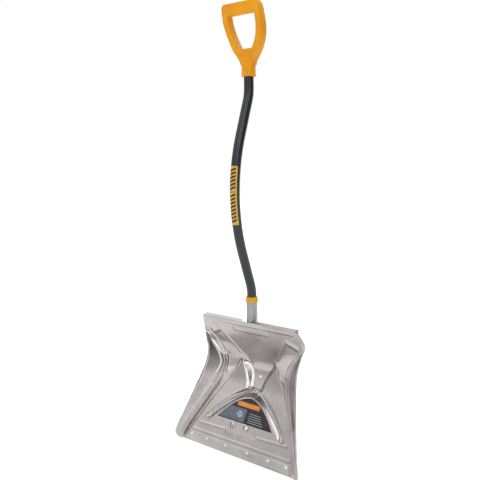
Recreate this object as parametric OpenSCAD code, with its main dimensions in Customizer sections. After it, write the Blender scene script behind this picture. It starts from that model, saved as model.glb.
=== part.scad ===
// Scoop shovel for snow: stamped aluminium blade, bent handle tube and D-shaped hand grip.
// Upright, blade down. The origin is the middle of the grip's crossbar, which the shovel hangs by.
// X runs across the blade, the scoop opens towards -Y, +Z is up.

/* [Overall] */
// Height of the crossbar above the blade's top fold
grip_height = 915; // [860:1:980]
// How far the crossbar sits in front of the handle's straight ends
grip_forward = 27; // [20:1:32]

/* [Blade] */
// Depth of the blade's lower edge below the foot line, where the handle's axis meets the sheet's top
blade_height = 394; // [388:1:398]
// How far the top fold stands above the foot line
top_lift = 3; // [0:0.5:4]
// Half width of the top fold
top_half_width = 181; // [174:1:186]
// Half width across the side wall tips
tip_half_width = 236; // [230:1:242]
// Half width of the lower edge
edge_half_width = 223; // [218:1:226]
// Sheet thickness, measured front to back
sheet = 2; // [1.5:0.1:3]
// Depth of the pressed channel that carries the handle
channel_depth = 18; // [8:1:20]
// Width of the folded flange along the top
flange_width = 15; // [10:1:18]
// Half width of the flange notch round the handle
notch_half_width = 18; // [16:1:20]

/* [Handle] */
// Outside radius of the steel tube
tube_radius = 12.7; // [12:0.1:13]
// Wall of the steel tube
tube_wall = 1.2; // [0.8:0.1:2]
// Thickness of the vinyl sleeve
sleeve_wall = 1.6; // [0.8:0.1:1.8]
// How far the handle bows forward
bow = 73; // [60:1:85]
// Angle of the handle's slanted runs
bow_angle = 20; // [18:0.5:22]
// Bend radius at the middle of the handle
bow_radius = 500; // [450:10:520]
// Bend radius at both ends of the bow
end_radius = 110; // [90:5:130]
// Height of the middle of the bow above the top fold
bow_height = 393; // [388:1:400]

/* [Grip] */
// Outside half width of the grip
grip_half_width = 66; // [64:0.5:70]
// Half width of the hand gap
gap_half_width = 48; // [46:0.5:50]
// Radius of the crossbar
bar_radius = 17; // [15:0.5:18]
// Front to back depth of the grip's arms
arm_depth = 28; // [24:1:30]
// Outside radius of the grip's neck
neck_radius = 20.5; // [19.5:0.5:22]

/* [Fittings] */
// Outside radius of the fluted ferrule
ferrule_radius = 16.8; // [16.2:0.1:17]
// Outside radius of the plastic collar
collar_radius = 18.6; // [18:0.1:19.5]
// Height of the wear strip
strip_height = 30; // [22:1:32]
// Thickness of the wear strip
strip_thickness = 1.6; // [1:0.1:2.5]

/* [Hidden] */

// Slopes of the two flat panels of the scoop, front to back over height
upper_slope = 0.5;
lower_angle = 30;
lower_slope = tan(lower_angle);
// Front face of the sheet at the top fold and at the lower edge
top_y = -23;
edge_y = -99.3;
// Grid of the stamped sheet: cells across half the floor, cells across a wall, rows
floor_cells = 20;
wall_cells = 4;
rows = 43;

sleeve_radius = tube_radius + sleeve_wall;
neck_bottom = 731;
tube_top = 768;
ferrule_top = 70;
collar_bottom = 66;
collar_top = 82;
knee_z = -6;
knee_radius = 16;
socket_floor = knee_z + 14;
knee_angle = atan(upper_slope);

// Handle bow, all in the Y-Z plane
end_rise = end_radius * sin(bow_angle);
end_shift = end_radius * (1 - cos(bow_angle));
bow_half_rise = bow_radius * sin(bow_angle);
bow_sag = bow_radius * (1 - cos(bow_angle));
slant_length = (bow - end_shift - bow_sag) / sin(bow_angle);
bow_half_height = end_rise + slant_length * cos(bow_angle) + bow_half_rise;
bow_start = bow_height - bow_half_height;
bow_end = bow_height + bow_half_height;

$fn = 64;

// ---- stamped sheet: y of the front face for a half width x and a depth d below the top fold ----

function soft_min(a, b, k) = -k * ln(exp(-a / k) + exp(-b / k));
function ramp(a, b, t) =
    let (u = min(max((t - a) / (b - a), 0), 1))
    u * u * (3 - 2 * u);

function upper_panel(d) = top_y + upper_slope * d;
function lower_panel(d) = edge_y + lower_slope * (blade_height - d);
function wall_panel(d) = soft_min(upper_panel(d), lower_panel(d), 8);
// The panels beside the channel stand forward just below the upper panel
shoulder = 12;
function side_panel(d) =
    soft_min(upper_panel(d), lower_panel(d) - shoulder * (1 - ramp(130, 215, d)), 8);
function channel_floor(d) =
    soft_min(upper_panel(d), lower_panel(d) + channel_depth * (1 - ramp(238, 262, d)), 12);

// [depth, half width of the wall fold, forward rise of the fold]
fold_line = [[0, 172, 0], [45, 181, 0], [58, 172, 1], [85, 151, 2], [100, 138, 6], [115, 127, 13],
             [130, 119, 21], [145, 114, 23], [160, 113, 20], [190, 120, 19], [220, 133, 17],
             [250, 149, 14], [280, 163, 13], [340, 193, 11], [370, 205, 8], [400, 214, 2]];
// [depth, half width of the wall's free edge, its y]
free_edge = [[0, top_half_width, top_y], [25, 190, -10], [40, 192.5, -2.5], [50, 192.5, -4],
             [70, 183.5, -8], [100, 175.5, -11.5], [130, 172, -17], [160, 175, -26],
             [190, 182, -38], [250, 199, -64.5], [310, 216.5, -90], [340, 226, -103],
             [373, tip_half_width, -114], [385, tip_half_width - 3, -109],
             [402, edge_half_width, -100]];
// [depth, half width of the crease between the middle and the side panels]
crease_line = [[0, 150], [36, 129], [85, 92], [114, 73], [130, 67], [163, 78], [198, 106],
               [232, 128], [277, 157], [340, 188], [400, 212]];

// Pressed grooves either side of the label, as depths of their outer and inner edges
function groove_outer(x) = 211 + 107 * pow(x / 153, 1.6);
function groove_inner(x) = 240 + 84 * pow(x / 130, 1.6);
function groove(x, d) =
    ramp(-4, 12, d - groove_outer(x)) * ramp(0, 12, groove_inner(x) - d)
    * (1 - ramp(140, 154, x)) * (1 - ramp(312, 328, d));
function groove_depth(x) = channel_depth - 12 * ramp(0, 90, x);

channel_edge = [[0, 60], [130, 58], [145, 56], [166, 41], [190, 30], [212, 25], [240, 20]];
function channel(x, d) =
    let (w = lookup(d, channel_edge))
    (1 - ramp(w - 11, w + 11, x)) * (1 - ramp(213, 230, d));

function fold_x(d) = lookup_col(d, fold_line, 1);
function fold_rise(d) = lookup_col(d, fold_line, 2);
function lookup_col(d, table, col) = lookup(d, [for (row = table) [row[0], row[col]]]);

function floor_y(x, d) =
    let (crease = lookup(d, crease_line),
         edge = fold_x(d),
         towards_fold = min(max((x - crease) / (edge - crease), 0), 1),
         rise = (side_panel(d) - wall_panel(d) + fold_rise(d)) * towards_fold,
         dip = (channel_floor(d) - side_panel(d)) * channel(x, d),
         side_groove = groove_depth(x) * groove(x, d))
    side_panel(d) - rise + max(dip, side_groove);

function sheet_point(u, d) =
    let (side = u < 0 ? -1 : 1,
         cell = abs(u),
         edge = fold_x(d),
         wall = max(cell - floor_cells, 0) / wall_cells,
         x_floor = edge * min(cell, floor_cells) / floor_cells,
         x = x_floor + (lookup_col(d, free_edge, 1) - edge) * wall,
         y_floor = floor_y(x_floor, d),
         y = y_floor + (lookup_col(d, free_edge, 2) - y_floor) * wall)
    [side * x, y, -d];

// The flange leaves the top fold square to the upper panel, backwards and up, and narrows a little
flange_back = [0, cos(knee_angle), sin(knee_angle)];
flange_under = [0, sin(knee_angle), -cos(knee_angle)];
flange_steps = [flange_width, flange_width * 0.6];
flange_taper = 0.4;
first_row = len(flange_steps);

// The notch widens backwards to clear the ferrule
notch_flare = 10;

function flange_point(u, reach) =
    let (p = sheet_point(u, -top_lift),
         near_notch = 1 - ramp(notch_half_width, 4 * notch_half_width, abs(p[0])),
         flare = sign(p[0]) * notch_flare * near_notch * reach / flange_width,
         taper = reach * flange_taper * p[0] / top_half_width)
    p + flange_back * reach + [flare - taper, 0, 0];
function row_depth(r) = (blade_height + top_lift) * (r - first_row) / rows - top_lift;
function front_point(u, r) =
    r < first_row ? flange_point(u, flange_steps[r]) : sheet_point(u, row_depth(r));
function back_point(u, r) =
    r < first_row ? front_point(u, r) + flange_under * sheet * 0.9
    : r == first_row ? front_point(u, r) + (flange_back + flange_under) * sheet * 0.9
    : front_point(u, r) + [0, sheet, 0];

half_cells = floor_cells + wall_cells;
columns = 2 * half_cells;
all_rows = rows + first_row;
stride = columns + 1;
side_size = stride * (all_rows + 1);
notch_cells = round(notch_half_width / fold_line[0][1] * floor_cells);

function in_sheet(c, r) =
    c >= 0 && c < columns && r >= 0 && r < all_rows
    && !(r < first_row && abs(c - half_cells + 0.5) < notch_cells);
function id(c, r) = r * stride + c;

// One cell gives its front and back faces, plus a rim face wherever its neighbour is missing
function rim(a, b) = [[a, b, b + side_size], [a, b + side_size, a + side_size]];
function cell_faces(c, r) =
    let (a = id(c, r), b = id(c + 1, r), e = id(c + 1, r + 1), f = id(c, r + 1), n = side_size)
    concat(
        [[a, b, e], [a, e, f], [a + n, e + n, b + n], [a + n, f + n, e + n]],
        in_sheet(c, r - 1) ? [] : rim(b, a),
        in_sheet(c, r + 1) ? [] : rim(f, e),
        in_sheet(c - 1, r) ? [] : rim(a, f),
        in_sheet(c + 1, r) ? [] : rim(e, b));

module stamped_sheet() {
    front = [for (r = [0:all_rows]) for (c = [0:columns]) front_point(c - half_cells, r)];
    back = [for (r = [0:all_rows]) for (c = [0:columns]) back_point(c - half_cells, r)];
    faces = [for (r = [0:all_rows - 1]) for (c = [0:columns - 1]) if (in_sheet(c, r))
             for (f = cell_faces(c, r)) f];
    polyhedron(points = concat(front, back), faces = faces, convexity = 8);
}

// ---- placing helpers ----

// Everything is laid out from the top fold, then lowered so the crossbar is the origin
module from_fold() {
    translate([0, grip_forward, -grip_height]) children();
}

// On the flat lower panel: x across, y up the panel from the lower edge, z out of the front face
module on_panel() {
    from_fold()
    translate([0, edge_y, -blade_height])
    rotate([60, 0, 0])
    children();
}

// A bend in the Y-Z plane about the point [y, z], between two angles measured from +Y
module bend(y, z, radius, from, to) {
    translate([0, y, z])
    rotate([90, 0, 90])
    rotate([0, 0, from])
    rotate_extrude(angle = to - from)
    translate([radius, 0])
    children();
}

module ring_section(outer, inner) {
    difference() {
        circle(outer);
        circle(inner);
    }
}

// Stations along the handle's centre line, each [y, z, forward lean]
end_steps = 6;
bow_steps = 24;
function lower_bend() =
    [for (i = [0:end_steps])
     let (a = bow_angle * i / end_steps)
     [end_radius * (cos(a) - 1), bow_start + end_radius * sin(a), a]];
function middle_bend() =
    [for (i = [0:bow_steps])
     let (a = bow_angle * (1 - 2 * i / bow_steps))
     [bow_radius * (1 - cos(a)) - bow, bow_height - bow_radius * sin(a), a]];
function upper_bend() =
    [for (i = [end_steps:-1:0])
     let (a = bow_angle * i / end_steps)
     [end_radius * (cos(a) - 1), bow_end - end_radius * sin(a), -a]];
function handle_line(bottom, top) =
    concat([[0, bottom, 0]], lower_bend(), middle_bend(), upper_bend(), [[0, top, 0]]);

tube_sides = 28;
function section_ring(at, radius) =
    [for (i = [0:tube_sides - 1])
     let (t = 360 * i / tube_sides)
     [radius * cos(t), at[0] + radius * sin(t) * cos(at[2]), at[1] + radius * sin(t) * sin(at[2])]];

// Hollow tube swept along the handle's line: outer rings first, then inner rings
module handle_tube(bottom, top, outer, inner) {
    line = handle_line(bottom, top);
    last = len(line) - 1;
    inside = len(line) * tube_sides;
    outer_rings = [for (at = line) for (p = section_ring(at, outer)) p];
    inner_rings = [for (at = line) for (p = section_ring(at, inner)) p];
    walls = [for (s = [0:last - 1]) for (i = [0:tube_sides - 1])
             let (j = (i + 1) % tube_sides,
                  a = s * tube_sides + i,
                  b = s * tube_sides + j)
             for (f = [[a, a + tube_sides, b + tube_sides], [a, b + tube_sides, b],
                       [a + inside, b + inside, b + tube_sides + inside],
                       [a + inside, b + tube_sides + inside, a + tube_sides + inside]])
             f];
    ends = [for (i = [0:tube_sides - 1])
            let (j = (i + 1) % tube_sides,
                 top_ring = last * tube_sides)
            for (f = [[i, j, j + inside], [i, j + inside, i + inside],
                      [top_ring + j, top_ring + i, top_ring + i + inside],
                      [top_ring + j, top_ring + i + inside, top_ring + j + inside]])
            f];
    polyhedron(points = concat(outer_rings, inner_rings), faces = concat(walls, ends),
               convexity = 8);
}

// ---- grip ----

grip_drop = grip_height - neck_bottom;
// The arms end just below the top of the round crossbar
arm_top = bar_radius - 1.5;
// [height above the crossbar, half width] of the grip's outline and of its hand gap
outline = [[arm_top, 50], [arm_top - 0.5, 56], [12, 60.5], [4, 64], [-8, 65.5], [-24, grip_half_width],
           [-38, grip_half_width], [-52, 64.5], [-64, 62], [-76, 59], [-90, 54], [-104, 47.5],
           [-117, 39.5], [-128, 30.5], [-138, 23.5], [-146, 19.5], [-152, 18.5]];
gap_outline = [[-10, gap_half_width], [-30, gap_half_width], [-45, 46.5], [-60, 43.5], [-75, 39],
               [-90, 33], [-100, 28], [-104, 25.5], [-107, 21]];
// [height above the crossbar, y, half depth] of the grip's arms: upright at the neck, bowed forwards
arm_line = [[arm_top, -5, 13], [0, 0, arm_depth / 2], [-30, 7.5, arm_depth / 2],
            [-50, 14, arm_depth / 2], [-70, 20, arm_depth / 2], [-90, 23, arm_depth / 2],
            [-110, 25, 14.5], [-130, grip_forward, 15.5], [-152, grip_forward, 15]];

module both_sides(half) {
    polygon(concat([for (p = half) [p[1], p[0]]],
                   [for (i = [len(half) - 1:-1:0]) [-half[i][1], half[i][0]]]));
}

module grip_front_view() {
    reach = 2 * grip_half_width;
    rotate([90, 0, 0])
    linear_extrude(reach, center = true)
    difference() {
        both_sides(outline);
        both_sides(gap_outline);
    }
}

module grip_side_view() {
    reach = 3 * grip_half_width;
    front = [for (p = arm_line) [p[1] - p[2], p[0]]];
    back = [for (i = [len(arm_line) - 1:-1:0]) [arm_line[i][1] + arm_line[i][2], arm_line[i][0]]];
    rotate([90, 0, 90])
    linear_extrude(reach, center = true)
    polygon(concat(front, back));
}

module grip_loop() {
    intersection() {
        grip_front_view();
        grip_side_view();
    }
}

module crossbar() {
    into_arms = 6;
    rotate([0, 90, 0])
    cylinder(r = bar_radius, h = 2 * (gap_half_width + into_arms), center = true);
}

module grip_neck() {
    neck_height = 44;
    cuff_height = 6;
    translate([0, grip_forward, -grip_drop])
    cylinder(r = neck_radius, h = neck_height);
    translate([0, grip_forward, -grip_drop])
    cylinder(r = neck_radius + 1, h = cuff_height);
}

module d_grip() {
    color([0.93, 0.62, 0.05])
    difference() {
        union() {
            grip_loop();
            crossbar();
            grip_neck();
        }
        translate([0, grip_forward, neck_bottom - grip_height - 1])
        cylinder(r = tube_radius, h = tube_top - neck_bottom + 1);
    }
}

// Blind rivet along +Z: its head sits at height seat, its shank ends inside the tube's wall
rivet_shank = 2.4;
rivet_head = 5;
rivet_crown = 3.4;
rivet_head_height = 1.8;
module blind_rivet(seat) {
    tail = 2;
    inside = tube_radius - tube_wall;
    translate([0, 0, seat])
    cylinder(r1 = rivet_head, r2 = rivet_crown, h = rivet_head_height);
    translate([0, 0, inside - tail])
    cylinder(r = rivet_shank, h = seat - inside + tail);
    translate([0, 0, inside - 2 * tail])
    cylinder(r = rivet_shank + 1, h = tail);
}

// From the back of the neck into the tube
module grip_rivet() {
    above_cuff = 18;
    color([0.7, 0.7, 0.72])
    translate([0, grip_forward, above_cuff - grip_drop])
    rotate([-90, 0, 0])
    blind_rivet(neck_radius);
}

// ---- handle ----

module shaft_tube() {
    color([0.62, 0.63, 0.65])
    from_fold()
    handle_tube(socket_floor, tube_top, tube_radius, tube_radius - tube_wall);
}

module shaft_sleeve() {
    color([0.24, 0.26, 0.30])
    from_fold()
    handle_tube(ferrule_top, neck_bottom, sleeve_radius, tube_radius);
}

// Printed film round the front of the bow
module shaft_label() {
    film = 0.3;
    reach = 9.5;
    color([0.88, 0.70, 0.20])
    from_fold()
    bend(bow_radius - bow, bow_height, bow_radius, 180 - reach, 180 + reach)
    intersection() {
        ring_section(sleeve_radius + film, sleeve_radius);
        translate([0, -2 * sleeve_radius])
        square([2 * sleeve_radius, 4 * sleeve_radius]);
    }
}

module socket_collar() {
    color([0.93, 0.62, 0.05])
    from_fold()
    translate([0, 0, collar_bottom])
    difference() {
        cylinder(r = collar_radius, h = collar_top - collar_bottom);
        translate([0, 0, -1])
        cylinder(r = ferrule_radius, h = ferrule_top - collar_bottom + 1);
        cylinder(r = sleeve_radius, h = collar_top - collar_bottom + 1);
    }
}

// ---- ferrule and its tongue behind the blade ----

flutes = 10;
flute_radius = 2.4;
flute_inset = 1.2;
tongue_thickness = 5.4;
tongue_half_width = 15;
tongue_start = 40;
tongue_bend = 132;
tongue_end = 196;
back_gap = 0.6;
knee_length = 92;

// Strap that follows the back of the sheet down the upper panel and into the channel
module tongue() {
    step = 8;
    front = sheet + back_gap;
    rear = front + tongue_thickness;
    depths = concat([tongue_start], [for (d = [tongue_bend:step:tongue_end]) d]);
    last = len(depths) - 1;
    translate([-tongue_half_width, 0, 0])
    rotate([90, 0, 90])
    linear_extrude(2 * tongue_half_width)
    polygon(concat([for (d = depths) [channel_floor(d) + front, -d]],
                   [for (i = [last:-1:0]) [channel_floor(depths[i]) + rear, -depths[i]]]));
}

// The ferrule below the knee: a thin tube along the blade's back, cut slantwise into a trough
module trough() {
    wall = 2.5;
    open_from = 14;
    lip = knee_radius - 3;
    beyond = 3 * knee_radius;
    difference() {
        union() {
            sphere(r = knee_radius);
            rotate([180 + knee_angle, 0, 0])
            cylinder(r = knee_radius - 0.5, h = knee_length);
        }
        rotate([180 + knee_angle, 0, 0]) {
            cylinder(r = knee_radius - wall, h = knee_length + 1);
            rotate([90, 0, 90])
            linear_extrude(2 * knee_radius + 2, center = true)
            polygon([[-knee_radius - 1, open_from], [lip, knee_length + 1],
                     [-beyond, knee_length + 1], [-beyond, open_from]]);
        }
    }
}

module ferrule() {
    fluted_from = 4;
    color([0.80, 0.80, 0.82])
    from_fold()
    difference() {
        union() {
            translate([0, 0, knee_z])
            cylinder(r = ferrule_radius, h = ferrule_top - knee_z);
            translate([0, 0, knee_z])
            trough();
            tongue();
        }
        translate([0, 0, socket_floor])
        cylinder(r = tube_radius, h = ferrule_top - knee_z);
        for (i = [0:flutes - 1])
            rotate([0, 0, (i + 0.5) * 360 / flutes])
            translate([ferrule_radius + flute_inset, 0, fluted_from])
            cylinder(r = flute_radius, h = ferrule_top);
        tongue_rivet_hole();
    }
}

// Through the ferrule and the tube, from the back
module ferrule_rivet() {
    ferrule_rivet_height = 40;
    color([0.7, 0.7, 0.72])
    from_fold()
    translate([0, 0, ferrule_rivet_height])
    rotate([-90, 0, 0])
    blind_rivet(ferrule_radius);
}

tongue_rivet_depth = 184;

// Carries +Z to the channel floor's forward normal at the throat rivet
module at_tongue_rivet() {
    translate([0, channel_floor(tongue_rivet_depth), -tongue_rivet_depth])
    rotate([90 - lower_angle, 0, 0])
    children();
}

module tongue_rivet_hole() {
    depth = 2 * (sheet + tongue_thickness);
    at_tongue_rivet()
    translate([0, 0, -depth])
    cylinder(r = rivet_shank, h = depth);
}

// Set rivet that clamps the throat of the sheet to the tongue
module tongue_rivet() {
    sunk = 0.6;
    front_height = 2;
    back_height = 1.6;
    overlap = 0.8;
    clamped = (sheet + back_gap + tongue_thickness) * cos(lower_angle);
    color([0.78, 0.78, 0.8])
    from_fold()
    at_tongue_rivet() {
        translate([0, 0, -sunk])
        cylinder(r1 = 5, r2 = 3.2, h = front_height);
        translate([0, 0, -clamped - overlap])
        cylinder(r = rivet_shank, h = clamped + overlap);
        translate([0, 0, -clamped - back_height])
        cylinder(r1 = 3, r2 = 4.2, h = back_height);
    }
}

// ---- blade, label and wear strip ----

module blade() {
    color([0.72, 0.70, 0.69])
    from_fold()
    stamped_sheet();
}

panel_stretch = 1 / cos(lower_angle);
label_half_width = 105;
label_base = (blade_height - 309) * panel_stretch;
label_height = 68 * panel_stretch;

module blade_label() {
    steps = 24;
    film = 0.3;
    roundness = 1.75;
    color([0.12, 0.12, 0.13])
    on_panel()
    linear_extrude(film)
    polygon([for (i = [-steps:steps])
             let (t = i / steps)
             [label_half_width * t, label_base + label_height * (1 - pow(abs(t), roundness))]]);
}

strip_half_width = 198;
strip_slant = 12;

module wear_strip() {
    color([0.66, 0.67, 0.68])
    on_panel()
    linear_extrude(strip_thickness)
    polygon([[-strip_half_width, 0], [strip_half_width, 0],
             [strip_half_width - strip_slant, strip_height],
             [strip_slant - strip_half_width, strip_height]]);
}

strip_rivet_spots = [-182, -118, -42, 42, 118, 182];
strip_rivet_height = 0.7;

// Small rivets with a domed head in front and a set tail behind the sheet
module wear_strip_rivets() {
    shank = 1.6;
    head_height = 1.2;
    tail_height = 1;
    tail_overlap = 0.27;
    color([0.78, 0.78, 0.8])
    on_panel()
    for (x = strip_rivet_spots)
        translate([x, strip_height * strip_rivet_height, 0]) {
            translate([0, 0, strip_thickness])
            cylinder(r1 = 4, r2 = 2.6, h = head_height);
            translate([0, 0, -sheet])
            cylinder(r = shank, h = sheet + strip_thickness);
            translate([0, 0, -sheet - tail_height])
            cylinder(r1 = 2.6, r2 = 3.2, h = tail_height + tail_overlap);
        }
}

d_grip();
grip_rivet();
shaft_tube();
shaft_sleeve();
shaft_label();
socket_collar();
ferrule();
ferrule_rivet();
blade();
tongue_rivet();
blade_label();
wear_strip();
wear_strip_rivets();
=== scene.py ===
"""Looks of the snow shovel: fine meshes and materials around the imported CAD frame.

Shapes are laid out in millimetres from the blade's top fold, as the CAD is, and lowered so that
the origin is the middle of the grip's crossbar. X runs across, the scoop opens towards -Y.
"""
import math

import bmesh
import bpy
import numpy as np
from mathutils import Matrix, Vector


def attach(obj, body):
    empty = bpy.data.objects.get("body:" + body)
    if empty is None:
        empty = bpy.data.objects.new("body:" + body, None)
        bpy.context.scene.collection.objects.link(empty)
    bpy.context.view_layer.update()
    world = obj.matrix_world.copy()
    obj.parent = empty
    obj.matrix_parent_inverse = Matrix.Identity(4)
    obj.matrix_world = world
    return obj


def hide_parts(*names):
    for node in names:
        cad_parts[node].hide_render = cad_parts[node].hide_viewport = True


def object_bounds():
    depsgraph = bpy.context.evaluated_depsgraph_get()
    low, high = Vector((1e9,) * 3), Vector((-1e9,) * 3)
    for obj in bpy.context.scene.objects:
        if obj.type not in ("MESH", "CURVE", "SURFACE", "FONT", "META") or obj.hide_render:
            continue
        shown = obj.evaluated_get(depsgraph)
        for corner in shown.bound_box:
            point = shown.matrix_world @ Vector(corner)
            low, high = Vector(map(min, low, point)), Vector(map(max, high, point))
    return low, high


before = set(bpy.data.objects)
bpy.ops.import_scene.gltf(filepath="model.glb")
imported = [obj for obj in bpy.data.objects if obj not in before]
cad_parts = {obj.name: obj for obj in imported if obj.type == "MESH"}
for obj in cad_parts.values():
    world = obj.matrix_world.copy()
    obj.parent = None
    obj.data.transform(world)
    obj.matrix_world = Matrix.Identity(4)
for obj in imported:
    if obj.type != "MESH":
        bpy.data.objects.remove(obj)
cad_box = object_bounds()

# ---- driving sizes, in millimetres, as in the CAD ----
GRIP_HEIGHT = 915
GRIP_FORWARD = 27
BLADE_HEIGHT = 394
TOP_LIFT = 3
TOP_HALF_WIDTH = 181
TOP_Y = -23
EDGE_Y = -99.3
UPPER_SLOPE = 0.5
LOWER_ANGLE = math.radians(30)
LOWER_SLOPE = math.tan(LOWER_ANGLE)
CHANNEL_DEPTH = 18
SHOULDER = 12
SHEET = 2
FLANGE_WIDTH = 15
FLANGE_TAPER = 0.4
NOTCH_HALF_WIDTH = 18
NOTCH_FLARE = 10
TUBE_RADIUS = 12.7
SLEEVE_RADIUS = 14.3
BOW = 73
BOW_ANGLE = math.radians(20)
BOW_RADIUS = 500
END_RADIUS = 110
BOW_HEIGHT = 393
NECK_BOTTOM = 731
FERRULE_TOP = 70
COLLAR_BOTTOM = 66
COLLAR_TOP = 82
FERRULE_RADIUS = 16.8
COLLAR_RADIUS = 18.6
STRIP_HEIGHT = 30
STRIP_THICKNESS = 1.6


# ---- making objects ----

def to_frame(points):
    """Millimetres from the top fold to metres in the row frame."""
    return (np.asarray(points, float) + [0, GRIP_FORWARD, -GRIP_HEIGHT]) / 1000


def add_piece(name, points, faces, materials, node, slot, smooth=True, face_slots=None):
    """A mesh piece from points in millimetres. It rides on the one body and stands for a node."""
    mesh = bpy.data.meshes.new(name)
    mesh.from_pydata(to_frame(points).tolist(), [], [list(map(int, f)) for f in faces])
    mesh.validate()
    for material in materials:
        mesh.materials.append(material)
    if face_slots is not None:
        mesh.polygons.foreach_set("material_index", face_slots)
    mesh.polygons.foreach_set("use_smooth", [smooth] * len(mesh.polygons))
    piece = bpy.data.objects.new(name, mesh)
    bpy.context.scene.collection.objects.link(piece)
    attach(piece, "root")
    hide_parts(node)
    return piece


def grid_faces(rows, columns, offset=0, closed=False):
    """Quads of a grid of points, row by row. A closed grid joins its last column to its first."""
    wide = columns if closed else columns - 1
    return [(offset + r * columns + c,
             offset + r * columns + (c + 1) % columns,
             offset + (r + 1) * columns + (c + 1) % columns,
             offset + (r + 1) * columns + c)
            for r in range(rows - 1) for c in range(wide)]


def join(parts):
    """Several (points, faces) as one."""
    points, faces, base = [], [], 0
    for part_points, part_faces in parts:
        points.extend(part_points)
        faces.extend(tuple(i + base for i in face) for face in part_faces)
        base += len(part_points)
    return points, faces


def closed_slab(front, back):
    """A plate from two matching grids of points, closed round its rim."""
    rows, columns = np.shape(front)[:2]
    size = rows * columns
    top = grid_faces(rows, columns)
    under = [tuple(i + size for i in reversed(face)) for face in top]
    rim = (list(range(columns))
           + [r * columns + columns - 1 for r in range(1, rows)]
           + [(rows - 1) * columns + c for c in range(columns - 2, -1, -1)]
           + [r * columns for r in range(rows - 2, 0, -1)])
    sides = [(b, a, a + size, b + size) for a, b in zip(rim, rim[1:] + rim[:1])]
    points = np.concatenate([np.reshape(front, (-1, 3)), np.reshape(back, (-1, 3))])
    return points, top + under + sides


def add_layers(name, layers, node, slot, smooth=True):
    """One piece from (material, (points, faces)) layers, each in its own material."""
    materials, face_slots = [], []
    for material, (_, faces) in layers:
        if material not in materials:
            materials.append(material)
        face_slots += [materials.index(material)] * len(faces)
    points, faces = join([part for _, part in layers])
    add_piece(name, points, faces, materials, node, slot, smooth, face_slots)


def lathe(profile, sides, placing):
    """(radius, height) profile turned round Z."""
    points = [placing @ Vector((r * math.cos(2 * math.pi * i / sides),
                                r * math.sin(2 * math.pi * i / sides), h))
              for r, h in profile for i in range(sides)]
    faces = grid_faces(len(profile), sides, closed=True)
    return points, faces


def facing(position, direction):
    """Matrix that stands Z along a direction at a position."""
    turn = Vector(direction).to_track_quat("Z", "Y").to_matrix().to_4x4()
    return Matrix.Translation(Vector(position)) @ turn


def ramp(a, b, t):
    """A smooth rise from zero at a to one at b."""
    u = np.clip((t - a) / (b - a), 0, 1)
    return u * u * (3 - 2 * u)


def bump(t, half_width):
    """A smooth ridge across t = 0."""
    return np.exp(-(t / half_width) ** 2)


# ---- node helpers for materials ----

def new_material(name):
    """A material with its node tree and its shader."""
    material = bpy.data.materials.new(name)
    material.use_nodes = True
    tree = material.node_tree
    return material, tree, tree.nodes["Principled BSDF"]


def add(tree, kind, inputs=(), **settings):
    """A new node. An input that is a socket is linked, and any other is set."""
    node = tree.nodes.new(kind)
    for key, value in settings.items():
        setattr(node, key, value)
    for key, value in dict(inputs).items():
        if isinstance(value, bpy.types.NodeSocket):
            tree.links.new(value, node.inputs[key])
        else:
            node.inputs[key].default_value = value
    return node


EVEN = (1, 1, 1)


def stretched_noise(tree, stretch, scale, detail, roughness=0.55):
    """Noise in object space, in metres, drawn out along an axis where its stretch is below one."""
    where = add(tree, "ShaderNodeTexCoord").outputs["Object"]
    mapped = add(tree, "ShaderNodeMapping", {"Vector": where, "Scale": stretch}).outputs["Vector"]
    settings = {"Vector": mapped, "Scale": scale, "Detail": detail, "Roughness": roughness}
    return add(tree, "ShaderNodeTexNoise", settings).outputs["Fac"]


def graded(tree, value, stops):
    """Colour ramp over stops of (position, colour)."""
    node = add(tree, "ShaderNodeValToRGB", {"Fac": value})
    elements = node.color_ramp.elements
    while len(elements) < len(stops):
        elements.new(0.5)
    for element, (position, colour) in zip(elements, stops):
        element.position = position
        element.color = (*colour, 1)
    return node.outputs["Color"]


def remap(tree, value, low, high):
    """A value from 0 to 1 turned into one from low to high."""
    settings = {"Value": value, "To Min": low, "To Max": high}
    return add(tree, "ShaderNodeMapRange", settings).outputs["Result"]


def bumped(tree, shader, height, strength, distance):
    """Fine relief. distance is its height in metres."""
    normal = add(tree, "ShaderNodeBump",
                 {"Height": height, "Strength": strength, "Distance": distance}).outputs["Normal"]
    tree.links.new(normal, shader.inputs["Normal"])


def metal(name, dark, light, rough, streak=EVEN, streak_scale=60):
    """Bare metal with cloudy tone, drawn streaks and uneven polish."""
    material, tree, shader = new_material(name)
    cloud = stretched_noise(tree, EVEN, 14, detail=5)
    lines = stretched_noise(tree, streak, streak_scale, detail=6, roughness=0.7)
    mixed = add(tree, "ShaderNodeMath", {0: cloud, 1: lines}, operation="ADD").outputs[0]
    tone = add(tree, "ShaderNodeMath", {0: mixed, 1: 0.5}, operation="MULTIPLY").outputs[0]
    tree.links.new(graded(tree, tone, [(0.36, dark), (0.62, light)]), shader.inputs["Base Color"])
    tree.links.new(remap(tree, cloud, rough - 0.08, rough + 0.08), shader.inputs["Roughness"])
    shader.inputs["Metallic"].default_value = 1
    bumped(tree, shader, lines, 0.15, 0.00005)
    return material


def moulded_plastic(name, dark, light):
    """Satin moulded plastic with fine leather-like grain."""
    material, tree, shader = new_material(name)
    cloud = stretched_noise(tree, EVEN, 22, detail=3)
    grain = stretched_noise(tree, EVEN, 900, detail=2)
    tree.links.new(graded(tree, cloud, [(0.35, dark), (0.65, light)]), shader.inputs["Base Color"])
    tree.links.new(remap(tree, grain, 0.32, 0.46), shader.inputs["Roughness"])
    shader.inputs["Specular IOR Level"].default_value = 0.2
    bumped(tree, shader, grain, 0.25, 0.00012)
    return material


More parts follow.
